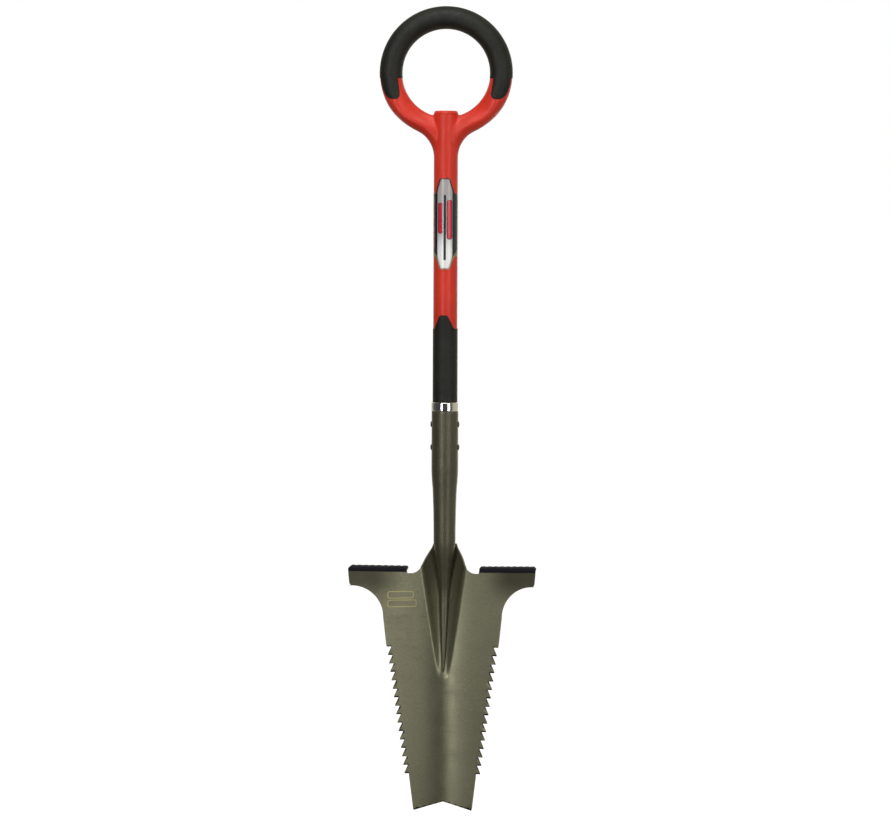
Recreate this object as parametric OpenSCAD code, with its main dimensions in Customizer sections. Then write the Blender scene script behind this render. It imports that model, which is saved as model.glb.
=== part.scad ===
// Digging shovel with a ring handle, a riveted tube socket and a saw-edged blade.
// The origin is the ring's centre. +Z points up the shaft and the blade's face looks towards -Y.

/* [Ring handle] */
// Radius from the ring's centre to the middle of its round section
ring_r = 77.5; // [76:0.5:80]
// Radius of the ring's round section
ring_tube_r = 16; // [15:0.5:16.5]
// Thickness of the soft grip on the ring
ring_skin = 3; // [2:0.5:4]
// Height of the grip's straight edge on the ring, below the ring's centre
ring_grip_drop = 6; // [3:1:12]
// Height of the boss top below the ring's centre
boss_drop = 52.7; // [50:0.1:55]

/* [Shaft] */
// Radius of the moulded shaft
shaft_r = 17; // [16:0.5:17]
// Radius over the soft shaft grip
shaft_grip_r = 17.5; // [17.5:0.25:18.5]
// Radius of the moulding under the shaft grip
grip_seat_r = 14.5; // [14:0.25:15]
// Radius of the steel core tube
core_r = 12.5; // [11.5:0.25:13]
// Wall of the steel core tube
core_wall = 2; // [1.5:0.25:2.5]
// Thickness of the wrap-round label
label_t = 0.25; // [0.2:0.05:0.4]

/* [Socket] */
// Radius over the wide part of the socket
socket_r = 18.75; // [18.5:0.25:19.25]
// Radius over the narrow part of the socket
socket_neck_r = 15.5; // [15:0.25:15.5]
// Wall of the socket
socket_wall = 2.25; // [2:0.05:2.25]
// Radius of the chromed collar
ferrule_r = 19.7; // [19.5:0.1:20.5]
// Radius of the rivets' shanks
rivet_r = 3; // [2.5:0.25:3.5]

/* [Blade] */
// Thickness of the blade's sheet
sheet_t = 2.2; // [1.8:0.1:2.5]
// Radius of the blade's dish, across the blade
dish_r = 90; // [85:5:180]
// Angle from the middle of the blade to where each side runs on straight
dish_angle = 17; // [14:1:19]
// Number of saw teeth on each side
tooth_count = 16; // [10:1:16]
// Depth of a saw tooth
tooth_depth = 6.4; // [4:0.2:7]
// Half the width of the trough at its lips
trough_half_w = 30; // [29:0.5:30]

/* [Treads] */
// Half the width over both treads
tread_half_w = 134.5; // [130:0.5:140]
// Depth of the turned-back step, front to back
step_depth = 24; // [20:1:30]
// Rise of each tread towards its outer end
tread_slope = 2; // [0:0.5:3]
// Number of ribs on each tread
rib_count = 9; // [6:1:10]

/* [Hidden] */
$fn = 96;

// Levels down the shaft
cap_h = 5;
sleeve_top = -boss_drop - cap_h;
label_top = -147;
label_low = -275;
band_top = -168;
band_low = -257.5;
grip_top = -339;
grip_shoulder = -358;
ferrule_top = -461.5;
socket_top = -474;
rivet_levels = [-492.6, -525];
swage_top = -564;
swage_low = -582;
neck_level = -640;
spigot_low = -560;
tube_low = -556;
saddle_top = -661.5;

// Blade: the face is the front surface of the sheet at the middle of the blade
face_y = -14;
step_z = -695.5;
notch_z = -703.5;
trough_tip_z = -851;
lip_z = -687;
first_tip = [78.4, -804.4];
last_tip = [53.6, -984.2];
corner = [40.75, -1036.5];
apex_z = -1025;
wing_len = 105;
wing_lap = 1;

// The trough is a cone whose deepest line starts at the back of the socket
trough_rise = lip_z - trough_tip_z;
trough_slope = (socket_neck_r - face_y) / (saddle_top - trough_tip_z);
trough_depth = trough_rise * trough_slope;
trough_r = (trough_depth + pow(trough_half_w, 2) / trough_depth) / 2;
trough_half_angle = atan(trough_r / trough_rise);

// The socket's tail: a cone in line with the shaft, then a thin cone along the trough's floor.
// It clears the floor by a small gap, which the welds bridge.
tail_bend_z = -731;
tail_bend_r = 4;
tail_end_z = -841;
tail_end_r = 1;

// Treads
pad_in = 51;
pad_t = 2.7;
pad_lip = 1.8;
pad_lip_h = 4;
rib_h = 1.3;
rib_w = 3.2;
step_inset = 3.5;

eps = 0.01;

function trough_floor_y(z) = face_y + (z - trough_tip_z) * trough_slope;
function tread_z(x) = step_z + (x - pad_in) * tan(tread_slope);

// Solid of a front-view outline, drawn in X and Z, right through the object
module through(depth = 200) {
    rotate([90, 0, 0]) linear_extrude(height = depth, center = true) children();
}

// Solid of a plan outline, drawn in X and Y, between two levels
module upright(low, high) {
    translate([0, 0, low]) linear_extrude(height = high - low) children();
}

module tube_solid(r, low, high) {
    translate([0, 0, low]) cylinder(r = r, h = high - low);
}

module both_sides() {
    children();
    mirror([1, 0, 0]) children();
}

// The same for an outline
module both_halves() {
    children();
    mirror([1, 0]) children();
}

// Rod or cone between two points of the middle plane, given as [y, z]
module middle_cone(from, to, r_from, r_to) {
    run = to - from;
    translate([0, from[0], from[1]])
        rotate([atan2(-run[0], run[1]), 0, 0])
            cylinder(h = norm(run), r1 = r_from, r2 = r_to);
}

// ---------- ring handle and shaft ----------

// Where the ring's full section gives way to the slimmer one that meets the yoke
ring_open_angle = 30;

// Part of a torus round the Y axis, from one angle to another, 0 at +X and counting towards +Z
module ring_arc(path_r, section_r, from, to) {
    rotate([90, 0, 0]) rotate([0, 0, from]) rotate_extrude(angle = to - from)
        translate([path_r, 0]) circle(r = section_r);
}

module ring_solid(r) {
    ring_arc(ring_r, r, -ring_open_angle, 180 + ring_open_angle);
}

// Where the soft grip covers the ring: all above a line, and a rounded tongue on each side
module ring_grip_outline() {
    tongue_in = 65.5;
    tongue_out = 79.5;
    tongue_low = 29;
    edge_x = ring_r + ring_tube_r + 2;
    translate([-edge_x, -ring_grip_drop]) square([2 * edge_x, edge_x + ring_grip_drop]);
    both_halves() {
        polygon([[tongue_in, eps - ring_grip_drop], [tongue_in, -tongue_low],
            [tongue_out, -tongue_low], [edge_x, -tongue_low + edge_x - tongue_out],
            [edge_x, eps - ring_grip_drop]]);
        translate([(tongue_in + tongue_out) / 2, -tongue_low])
            circle(r = (tongue_out - tongue_in) / 2);
    }
}

// Where the soft grip covers the shaft: a full sleeve with a tongue that narrows to its top
module shaft_grip_outline() {
    tongue_foot_w = 14;
    tongue_top_w = 7;
    tongue_chamfer = 2.5;
    edge_x = shaft_grip_r + 1;
    polygon([[-edge_x, ferrule_top], [edge_x, ferrule_top], [edge_x, grip_shoulder],
        [tongue_foot_w, grip_shoulder], [tongue_top_w, grip_top - tongue_chamfer],
        [tongue_top_w - tongue_chamfer, grip_top], [tongue_chamfer - tongue_top_w, grip_top],
        [-tongue_top_w, grip_top - tongue_chamfer], [-tongue_foot_w, grip_shoulder],
        [-edge_x, grip_shoulder]]);
}

// One arm of the yoke: an arc that leaves the ring's path and turns down into the shaft.
// It ends at arm_x beside the shaft's axis, at the level arm_z.
module yoke_arm() {
    arm_section_r = 13;
    arm_x = 3.5;
    arm_z = -118;
    arm_r = (pow(arm_z, 2) + pow(arm_x, 2) - pow(ring_r, 2)) / (2 * (ring_r - arm_x));
    leave_angle = acos((arm_r + arm_x) / (ring_r + arm_r));
    translate([arm_x + arm_r, 0, arm_z])
        ring_arc(arm_r, arm_section_r, 180 - leave_angle, 180);
}

module rivet_holes(r) {
    for (z = rivet_levels) translate([0, 0, z]) rotate([0, 90, 0])
        cylinder(r = r, h = 3 * socket_r, center = true);
}

// Red moulding: ring core, yoke, shaft sleeve and the spigot inside the socket
module handle_body() {
    low_ring_angle = ring_open_angle - 2;
    low_tube_r = ring_tube_r - 1.4;
    low_ring_r = ring_r - 1.3;
    color("firebrick") difference() {
        union() {
            difference() {
                ring_solid(ring_tube_r);
                through() ring_grip_outline();
            }
            ring_arc(ring_r, ring_tube_r - ring_skin, 0, 360);
            ring_arc(low_ring_r, low_tube_r, 180 + low_ring_angle, 360 - low_ring_angle);
            both_sides() yoke_arm();
            difference() {
                tube_solid(shaft_r, ferrule_top, sleeve_top);
                through() shaft_grip_outline();
            }
            tube_solid(grip_seat_r, ferrule_top, grip_top);
            tube_solid(socket_r - socket_wall - 0.1, spigot_low, ferrule_top);
        }
        tube_solid(core_r, spigot_low - 1, sleeve_top + 1);
        tube_solid(shaft_r, sleeve_top, sleeve_top + cap_h + ring_r);
        rivet_holes(rivet_r);
    }
}

// Red cap in the top end of the shaft, with a plug inside the core tube
module top_cap() {
    round_r = 2.5;
    plug_h = 12;
    color("crimson") translate([0, 0, sleeve_top]) {
        rotate_extrude() {
            square([shaft_r - round_r, cap_h]);
            square([shaft_r, cap_h - round_r]);
            translate([shaft_r - round_r, cap_h - round_r]) circle(r = round_r);
        }
        translate([0, 0, -plug_h]) cylinder(r = core_r - core_wall, h = plug_h + eps);
    }
}

module ring_grip() {
    color([0.13, 0.13, 0.12]) difference() {
        intersection() {
            ring_solid(ring_tube_r);
            through() ring_grip_outline();
        }
        ring_arc(ring_r, ring_tube_r - ring_skin, 0, 360);
    }
}

module shaft_grip() {
    color([0.13, 0.13, 0.12]) difference() {
        intersection() {
            tube_solid(shaft_grip_r, ferrule_top, grip_top);
            through() shaft_grip_outline();
        }
        tube_solid(grip_seat_r, ferrule_top - 1, grip_top + 1);
    }
}

// Front view of the label's long panel, which narrows to both ends
module panel_outline() {
    panel_w = 12.6;
    end_w = 7.5;
    taper_h = 19;
    end_round = 4;
    both_halves() polygon([[0, label_low], [end_w - end_round / 2, label_low],
        [end_w + end_round / 4, label_low + end_round], [panel_w, label_low + taper_h],
        [panel_w, label_top - taper_h], [end_w + end_round / 4, label_top - end_round],
        [end_w - end_round / 2, label_top], [0, label_top]]);
}

// Film label: a band right round the shaft and a long panel on its front
module shaft_label() {
    reach = 50;
    low = label_low - 1;
    high = label_top + 1;
    color("dimgray") difference() {
        tube_solid(shaft_r + label_t, label_low, label_top);
        tube_solid(shaft_r, low, high);
        difference() {
            translate([-reach, -reach, low]) cube([2 * reach, 2 * reach, high - low]);
            tube_solid(2 * shaft_r, band_low, band_top);
            intersection() {
                through() panel_outline();
                translate([-reach, -reach, low]) cube([2 * reach, reach, high - low]);
            }
        }
    }
}

// Steel tube that carries the bending load inside the plastic
module core_tube() {
    color("lightsteelblue") difference() {
        tube_solid(core_r, tube_low, sleeve_top);
        tube_solid(core_r - core_wall, tube_low - 1, sleeve_top + 1);
        rivet_holes(rivet_r);
    }
}

module lower_tube_plug() {
    plug_h = 18;
    flange_h = spigot_low - tube_low;
    color([0.35, 0.35, 0.33]) {
        tube_solid(core_r - core_wall, tube_low - eps, tube_low + plug_h);
        tube_solid(core_r, tube_low + flange_h, tube_low);
    }
}

// ---------- metal fittings ----------

module ferrule() {
    chamfer = 1.2;
    inner_r = socket_r - socket_wall;
    color("gainsboro") rotate_extrude() polygon([
        [inner_r, socket_top], [ferrule_r - chamfer, socket_top],
        [ferrule_r, socket_top + chamfer], [ferrule_r, ferrule_top - chamfer],
        [ferrule_r - chamfer, ferrule_top], [inner_r, ferrule_top]]);
}

// Thin end of the socket's tail, from inside the cone above it to its point in the trough
module tail_point() {
    overlap = 3;
    gap = trough_floor_y(tail_bend_z) - tail_bend_r;
    end = [trough_floor_y(tail_end_z) - gap - tail_end_r, tail_end_z];
    middle_cone(end, [0, tail_bend_z + overlap], tail_end_r, tail_bend_r);
}

// Steel socket: wide tube, swaged shoulder, long taper and a solid tail
module socket() {
    bore_r = socket_r - socket_wall;
    neck_bore_r = socket_neck_r - socket_wall;
    shoulder_r = 17;
    bore_low = -650;
    color("darkkhaki") difference() {
        union() {
            rotate_extrude() polygon([
                [0, tail_bend_z], [tail_bend_r, tail_bend_z], [socket_neck_r, saddle_top],
                [socket_neck_r, neck_level], [shoulder_r, swage_low], [socket_r, swage_top],
                [socket_r, socket_top], [0, socket_top]]);
            tail_point();
        }
        rotate_extrude() polygon([
            [0, bore_low], [neck_bore_r, bore_low], [neck_bore_r, neck_level],
            [shoulder_r - socket_wall, swage_low], [bore_r, swage_top],
            [bore_r, socket_top + 1], [0, socket_top + 1]]);
        rivet_holes(rivet_r);
    }
}

// Cross rivet with a domed head at each end, turned about its own axis
module rivet(z) {
    head_r = 4.3;
    head_h = 1.8;
    // Sphere that passes through the head's rim and its crown
    dome_r = (pow(head_r, 2) + pow(head_h, 2)) / (2 * head_h);
    color("darkkhaki") translate([0, 0, z]) rotate([0, 90, 0]) rotate_extrude() {
        translate([0, -socket_r]) square([rivet_r, 2 * socket_r]);
        for (flip = [0, 1]) mirror([0, flip]) intersection() {
            translate([0, socket_r + head_h - dome_r]) circle(r = dome_r);
            translate([0, socket_r - eps]) square([head_r, 2 * head_h]);
        }
    }
}

module upper_rivet() {
    rivet(rivet_levels[0]);
}

module lower_rivet() {
    rivet(rivet_levels[1]);
}

// ---------- blade ----------

// Plan of a layer of the sheet between two depths behind the face: the straight part on the right
module wing_plan(front, back) {
    tangent = [dish_r * sin(dish_angle), face_y - dish_r + dish_r * cos(dish_angle)];
    translate(tangent) rotate(-dish_angle) translate([-wing_lap, front])
        square([wing_len + wing_lap, back - front]);
}

// The same for the whole width: an arc that runs on straight to both sides
module dish_plan(front, back) {
    reach = 2 * dish_r;
    side_x = reach * sin(dish_angle);
    side_y = face_y - dish_r + reach * cos(dish_angle);
    intersection() {
        translate([0, face_y - dish_r]) difference() {
            circle(r = dish_r + back, $fn = 360);
            circle(r = dish_r + front, $fn = 360);
        }
        polygon([[0, face_y - dish_r], [side_x, side_y], [-side_x, side_y]]);
    }
    both_halves() wing_plan(front, back);
}

// Points of one side's saw edge, from the first tip down to the last root
function saw_edge() = let (pitch = (last_tip - first_tip) / (tooth_count - 1))
    [for (i = [0 : tooth_count - 1])
        let (tip = first_tip + i * pitch)
        each [tip, tip - [tooth_depth, 0]]];

// Front view of the right half of the blade
module blade_half_outline() {
    saddle_w = 16;
    lip_w = trough_half_w;
    neck_round = 14;
    step_low = -716;
    arc_r = 45;
    arc_centre = [128, -762];
    waist_x = arc_centre[0] - arc_r;
    edge_x = tread_half_w - step_inset;
    difference() {
        polygon(concat(
            [[0, saddle_top], [saddle_w, saddle_top], [lip_w, notch_z + neck_round],
                [lip_w + neck_round, notch_z + neck_round], [lip_w + neck_round, notch_z],
                [pad_in, notch_z], [pad_in, tread_z(pad_in)], [edge_x, tread_z(edge_x)],
                [edge_x, step_low], [arc_centre[0], arc_centre[1] + arc_r],
                [arc_centre[0], arc_centre[1]], [waist_x, arc_centre[1]]],
            saw_edge(), [corner, [0, apex_z]]));
        translate([lip_w + neck_round, notch_z + neck_round]) circle(r = neck_round);
        translate(arc_centre) circle(r = arc_r);
    }
}

module blade_outline() {
    both_halves() blade_half_outline();
}

// Cone of the trough, grown outwards by a thickness. Its tip lies a little in front of the face
// and below the trough, on the same floor line, so that it leaves the face at the trough's tip.
module trough_cone(grow) {
    tip_drop = 5;
    tip = [face_y - tip_drop * trough_slope, trough_tip_z - tip_drop];
    top_z = saddle_top + 2 * tip_drop;
    top_r = trough_r * (top_z - tip[1]) / trough_rise;
    base_r = grow / cos(trough_half_angle);
    middle_cone(tip, [trough_floor_y(top_z) - top_r, top_z], base_r, base_r + top_r);
}

// Pressed sheet: dish, trough, saw edges and the turned-back steps
module blade() {
    margin = 5;
    top = saddle_top + margin;
    low = corner[1] - margin;
    color("darkkhaki") {
        intersection() {
            union() {
                difference() {
                    upright(low, top) dish_plan(0, sheet_t);
                    trough_cone(sheet_t / 2);
                }
                intersection() {
                    difference() {
                        trough_cone(sheet_t);
                        trough_cone(0);
                    }
                    upright(low, top) dish_plan(0, 2 * trough_depth);
                }
            }
            through() blade_outline();
        }
        both_sides() intersection() {
            upright(step_z - margin, step_z + 2 * margin) wing_plan(sheet_t / 2, step_depth);
            through() step_outline();
        }
    }
}

// Front view of the turned-back step on the right
module step_outline() {
    edge_x = tread_half_w - step_inset;
    polygon([[pad_in, tread_z(pad_in)], [pad_in, tread_z(pad_in) - sheet_t],
        [edge_x, tread_z(edge_x) - sheet_t], [edge_x, tread_z(edge_x)]]);
}

// ---------- treads ----------

// Front view of the right pad above the step, with its row of ribs
module pad_top_outline() {
    end_cut = 2;
    pitch = (tread_half_w - pad_in) / (rib_count + 0.5);
    polygon([[pad_in, tread_z(pad_in)], [tread_half_w, tread_z(tread_half_w)],
        [tread_half_w, tread_z(tread_half_w) + pad_t - end_cut],
        [tread_half_w - end_cut, tread_z(tread_half_w) + pad_t],
        [pad_in, tread_z(pad_in) + pad_t]]);
    for (i = [0 : rib_count - 1]) {
        x0 = pad_in + (i + 0.5) * pitch;
        x1 = x0 + rib_w;
        polygon([[x0, tread_z(x0)], [x1, tread_z(x1)],
            [x1, tread_z(x1) + pad_t + rib_h], [x0, tread_z(x0) + pad_t + rib_h]]);
    }
}

// Front view of the pad's hanging lip
module pad_lip_outline() {
    polygon([[pad_in, tread_z(pad_in) - pad_lip_h], [tread_half_w, tread_z(tread_half_w) - pad_lip_h],
        [tread_half_w, tread_z(tread_half_w) + eps], [pad_in, tread_z(pad_in) + eps]]);
}

// Ribbed strip on the right step, with a lip that hangs over the front, the back and the outer end
module tread_pad() {
    margin = 10;
    low = step_z - margin;
    high = tread_z(tread_half_w) + margin;
    intersection() {
        upright(low, high) wing_plan(-pad_lip, step_depth + pad_lip);
        through() pad_top_outline();
    }
    intersection() {
        upright(low, high) difference() {
            wing_plan(-pad_lip, step_depth + pad_lip);
            difference() {
                wing_plan(0, step_depth);
                translate([tread_half_w - step_inset, -100]) square([2 * step_inset, 200]);
            }
        }
        through() pad_lip_outline();
    }
}

module right_tread_pad() {
    color([0.17, 0.17, 0.16]) tread_pad();
}

module left_tread_pad() {
    color([0.17, 0.17, 0.16]) mirror([1, 0, 0]) tread_pad();
}

// ---------- welds ----------

// Bead in the corner between the tail's cone and the trough, on the right
module side_weld() {
    bead_r = 2;
    bead_angle = 38;
    end_gap = 7;
    stand_off = 0.4 * bead_r;
    cone_slope = (socket_neck_r - tail_bend_r) / (saddle_top - tail_bend_z);
    function bead_point(z) = let (r = tail_bend_r + (z - tail_bend_z) * cone_slope + stand_off)
        [r * sin(bead_angle), r * cos(bead_angle), z];
    high = bead_point(saddle_top - end_gap);
    low = bead_point(tail_bend_z + end_gap);
    run = high - low;
    intersection() {
        difference() {
            translate(low) rotate([0, acos(run[2] / norm(run)), atan2(run[1], run[0])])
                cylinder(r = bead_r, h = norm(run));
            translate([0, 0, tail_bend_z])
                cylinder(r1 = tail_bend_r, r2 = socket_neck_r, h = saddle_top - tail_bend_z);
        }
        trough_cone(0);
    }
}

module right_weld() {
    color("darkgray") side_weld();
}

module left_weld() {
    color("darkgray") mirror([1, 0, 0]) side_weld();
}

// Bead along the saddle's top edge, behind the socket
module rear_weld() {
    bead_r = 2.6;
    stand_off = 0.6;
    sweep = 80;
    color("darkgray") difference() {
        translate([0, 0, saddle_top]) rotate([0, 0, 90 - sweep / 2])
            rotate_extrude(angle = sweep) translate([socket_neck_r + stand_off, 0])
                intersection() {
                    circle(r = bead_r);
                    translate([-bead_r, 0]) square(2 * bead_r);
                }
        tube_solid(socket_neck_r, saddle_top - 2 * bead_r, saddle_top + 2 * bead_r);
    }
}

handle_body();
top_cap();
ring_grip();
shaft_label();
shaft_grip();
core_tube();
lower_tube_plug();
ferrule();
socket();
upper_rivet();
lower_rivet();
blade();
left_tread_pad();
right_tread_pad();
left_weld();
right_weld();
rear_weld();
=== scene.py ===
import math

import bmesh
import bpy
import numpy as np
from mathutils import Matrix, Quaternion, Vector
from mathutils.geometry import delaunay_2d_cdt


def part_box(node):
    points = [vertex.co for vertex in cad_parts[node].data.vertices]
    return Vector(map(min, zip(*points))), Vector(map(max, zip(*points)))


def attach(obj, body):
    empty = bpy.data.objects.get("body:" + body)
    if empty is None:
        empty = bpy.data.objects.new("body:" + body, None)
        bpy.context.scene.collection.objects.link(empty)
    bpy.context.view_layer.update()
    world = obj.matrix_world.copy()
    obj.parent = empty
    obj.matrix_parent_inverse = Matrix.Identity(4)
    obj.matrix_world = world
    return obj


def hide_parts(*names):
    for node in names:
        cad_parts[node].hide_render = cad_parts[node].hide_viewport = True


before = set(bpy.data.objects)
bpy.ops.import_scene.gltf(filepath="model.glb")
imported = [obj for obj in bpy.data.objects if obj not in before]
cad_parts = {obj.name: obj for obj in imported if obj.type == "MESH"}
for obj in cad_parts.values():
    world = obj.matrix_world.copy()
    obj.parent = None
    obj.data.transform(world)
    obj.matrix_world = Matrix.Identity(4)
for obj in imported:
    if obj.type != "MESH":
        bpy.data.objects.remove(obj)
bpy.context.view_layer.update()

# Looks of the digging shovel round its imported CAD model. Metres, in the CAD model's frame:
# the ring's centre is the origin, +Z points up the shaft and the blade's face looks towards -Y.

MM = 0.001

# ---------- places taken from the CAD model ----------

ring_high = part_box("ring_grip")[1]
cap_low, cap_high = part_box("top_cap")
label_low, label_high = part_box("shaft_label")
grip_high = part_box("shaft_grip")[1]
ferrule_low, ferrule_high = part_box("ferrule")
socket_low, socket_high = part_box("socket")
blade_low, blade_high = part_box("blade")
core_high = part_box("core_tube")[1]
handle_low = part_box("handle_body")[0]

SECTION_R = ring_high.y
RING_R = ring_high.z - SECTION_R
SHAFT_R = cap_high.x
CORE_R = core_high.x
GRIP_R = grip_high.x
SOCKET_R = socket_high.x
FERRULE_R = ferrule_high.x
SLEEVE_TOP = core_high.z
SKIN_GAP = 0.02 * MM
SEAT_R = GRIP_R - 3 * MM
SEAT_TOP = grip_high.z - 21 * MM
LABEL_HALF, LABEL_END_HALF, LABEL_TAPER = 12.6 * MM, 6.9 * MM, 19 * MM
BAND_TOP, BAND_LOW = -168 * MM, -257.5 * MM


# ---------- helpers for shapes ----------

def smoothstep(low, high, value):
    t = np.clip((np.asarray(value, float) - low) / (high - low), 0, 1)
    return t * t * (3 - 2 * t)


def mesh_object(name, points, faces):
    mesh = bpy.data.meshes.new(name)
    mesh.from_pydata([tuple(p) for p in points], [], [tuple(f) for f in faces])
    mesh.validate()
    made = bpy.data.objects.new(name, mesh)
    bpy.context.scene.collection.objects.link(made)
    return made


def clean(piece, gap=0.001 * MM):
    """Merges points that are closer than a gap and turns all faces outwards."""
    made = bmesh.new()
    made.from_mesh(piece.data)
    if gap:
        bmesh.ops.remove_doubles(made, verts=made.verts, dist=gap)
    bmesh.ops.recalc_face_normals(made, faces=made.faces)
    made.to_mesh(piece.data)
    made.free()


def join(piece, others):
    """Joins other objects into a piece."""
    with bpy.context.temp_override(active_object=piece, selected_editable_objects=[piece] + others):
        bpy.ops.object.join()


def finish_piece(piece, material, node, sharp):
    """Smooth shading except on edges sharper than an angle, a material, and the CAD node it replaces."""
    for face in piece.data.polygons:
        face.use_smooth = True
    piece.data.set_sharp_from_angle(angle=math.radians(sharp))
    if not piece.data.materials:
        piece.data.materials.append(material)
    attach(piece, "root")
    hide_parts(node)


def full_turn(count):
    """Angles of evenly spaced steps round a circle."""
    return [2 * math.pi * k / count for k in range(count)]


def on_circle(radius, angle):
    return radius * math.cos(angle), radius * math.sin(angle)


def fillet(points, radius, steps=6):
    """Closed outline with each corner rounded. A corner is (x, y) or (x, y, its own radius)."""
    out = []
    count = len(points)
    for i, point in enumerate(points):
        here = np.array(point[:2], float)
        before = np.array(points[i - 1][:2], float) - here
        after = np.array(points[(i + 1) % count][:2], float) - here
        r = point[2] if len(point) > 2 else radius
        len_before, len_after = np.linalg.norm(before), np.linalg.norm(after)
        before, after = before / len_before, after / len_after
        turn = math.acos(float(np.clip(before @ after, -1, 1)))
        if r <= 0 or turn > math.pi - 0.02:
            out.append(tuple(here))
            continue
        cut = min(r / math.tan(turn / 2), 0.49 * len_before, 0.49 * len_after)
        r = cut * math.tan(turn / 2)
        middle = (before + after) / np.linalg.norm(before + after)
        centre = here + middle * (r / math.sin(turn / 2))
        start, end = here + before * cut - centre, here + after * cut - centre
        sweep = math.acos(float(np.clip(start @ end / (r * r), -1, 1)))
        for k in range(steps + 1):
            t = k / steps
            a, b = math.sin((1 - t) * sweep), math.sin(t * sweep)
            out.append(tuple(centre + (start * a + end * b) / math.sin(sweep)))
    return out


def grid_faces(rows, cols, wrap_rows=False):
    """Quads of a grid of points stored row by row, which wraps round along its second axis."""
    faces = []
    for i in range(rows if wrap_rows else rows - 1):
        for j in range(cols):
            i2, j2 = (i + 1) % rows, (j + 1) % cols
            faces.append((i * cols + j, i * cols + j2, i2 * cols + j2, i2 * cols + j))
    return faces


def tube_faces(rows, cols):
    """Faces of such a grid, closed at both ends."""
    ends = [tuple(reversed(range(cols))), tuple((rows - 1) * cols + k for k in range(cols))]
    return grid_faces(rows, cols) + ends


def turned(name, outline, count=96, axis="z"):
    """Solid of revolution. The outline is a closed list of (radius, level)."""
    points = []
    for angle in full_turn(count):
        for radius, level in outline:
            u, v = on_circle(radius, angle)
            points.append((u, v, level) if axis == "z" else (level, u, v))
    piece = mesh_object(name, points, grid_faces(count, len(outline), wrap_rows=True))
    clean(piece)
    return piece


def sleeve_solid(name, outer, inner):
    """Closed skin between two grids of the same shape, which wrap round along their second axis."""
    rows, cols = outer.shape[:2]
    points = np.concatenate([outer, inner[::-1]]).reshape(-1, 3)
    piece = mesh_object(name, points, grid_faces(2 * rows, cols, wrap_rows=True))
    clean(piece)
    return piece


def smooth_curve(xs, ys, at):
    """Monotone cubic through points, so that it has no ripples."""
    h = np.diff(xs)
    d = np.diff(ys) / h
    m = np.zeros(len(xs))
    for i in range(1, len(xs) - 1):
        if d[i - 1] * d[i] > 0:
            w1, w2 = 2 * h[i] + h[i - 1], h[i] + 2 * h[i - 1]
            m[i] = (w1 + w2) / (w1 / d[i - 1] + w2 / d[i])
    m[0], m[-1] = d[0], d[-1]
    k = np.clip(np.searchsorted(xs, at) - 1, 0, len(h) - 1)
    t = (at - xs[k]) / h[k]
    return ((1 + 2 * t) * (1 - t) ** 2 * ys[k] + t * (1 - t) ** 2 * h[k] * m[k]
            + t * t * (3 - 2 * t) * ys[k + 1] + t * t * (t - 1) * h[k] * m[k + 1])


def segment_distance(points, a, b):
    """Distance from each point to the line between a and b, in 2-D."""
    run = b - a
    t = np.clip(((points - a) @ run) / (run @ run), 0, 1)
    return np.linalg.norm(points - (a + t[:, None] * run), axis=1)


def inside(points, outline):
    """Whether each 2-D point lies in a closed outline."""
    result = np.zeros(len(points), bool)
    for a, b in zip(outline, np.roll(outline, -1, axis=0)):
        crosses = (a[1] > points[:, 1]) != (b[1] > points[:, 1])
        if a[1] != b[1]:
            at = a[0] + (points[:, 1] - a[1]) / (b[1] - a[1]) * (b[0] - a[0])
            result ^= crosses & (points[:, 0] < at)
    return result


def is_counter(flat, face):
    """Whether a face's corners run counter-clockwise."""
    a, b, c = (flat[k] for k in face[:3])
    return (b[0] - a[0]) * (c[1] - a[1]) - (b[1] - a[1]) * (c[0] - a[0]) > 0


def flat_sheet(outline, grid, lines=(), clear=0.6):
    """Triangles of an outline filled with grid points, with some lines kept as edges. A grid point
    closer to a line than the clear distance is left out."""
    outline = np.array(outline, float)
    grid = grid[inside(grid, outline)]
    segments = list(zip(outline, np.roll(outline, -1, axis=0)))
    for line in lines:
        line = np.array(line, float)
        segments += list(zip(line[:-1], line[1:]))
    for a, b in segments:
        if np.linalg.norm(b - a) > 0:
            grid = grid[segment_distance(grid, a, b) > clear]
    points = [Vector(p) for p in outline]
    edges = []
    for line in lines:
        first = len(points)
        points += [Vector(p) for p in line]
        edges += [(first + i, first + i + 1) for i in range(len(line) - 1)]
    points += [Vector(p) for p in grid]
    result = delaunay_2d_cdt(points, edges, [list(range(len(outline)))], 1, 1e-4)
    flat, faces = np.array([tuple(p) for p in result[0]]), [tuple(f) for f in result[2]]
    return flat, [face if is_counter(flat, face) else face[::-1] for face in faces]


def open_edges(faces):
    """Edges with a face on only one side, in that face's direction."""
    edges = dict.fromkeys(edge for face in faces for edge in zip(face, face[1:] + face[:1]))
    return [(a, b) for a, b in edges if (b, a) not in edges]


def thick_faces(faces, count, rim):
    """A sheet's faces, the same faces count points further on behind it, and walls along its rim."""
    back = [tuple(count + k for k in face[::-1]) for face in faces]
    return faces + back + [(b, a, count + a, count + b) for a, b in rim]


def apply_modifiers(piece):
    depsgraph = bpy.context.evaluated_depsgraph_get()
    mesh = bpy.data.meshes.new_from_object(piece.evaluated_get(depsgraph))
    piece.modifiers.clear()
    piece.data = mesh


# ---------- helpers for materials ----------

class Nodes:
    """A node tree and a short call for making its nodes."""

    def __init__(self, tree):
        self.tree = tree

    def node(self, kind, inputs=None, **settings):
        made = self.tree.nodes.new(kind)
        for key, value in settings.items():
            setattr(made, key, value)
        for key, value in (inputs or {}).items():
            self.put(value, made.inputs[key])
        return made

    def put(self, value, socket):
        if isinstance(value, bpy.types.NodeSocket):
            self.tree.links.new(value, socket)
        else:
            socket.default_value = value


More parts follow.
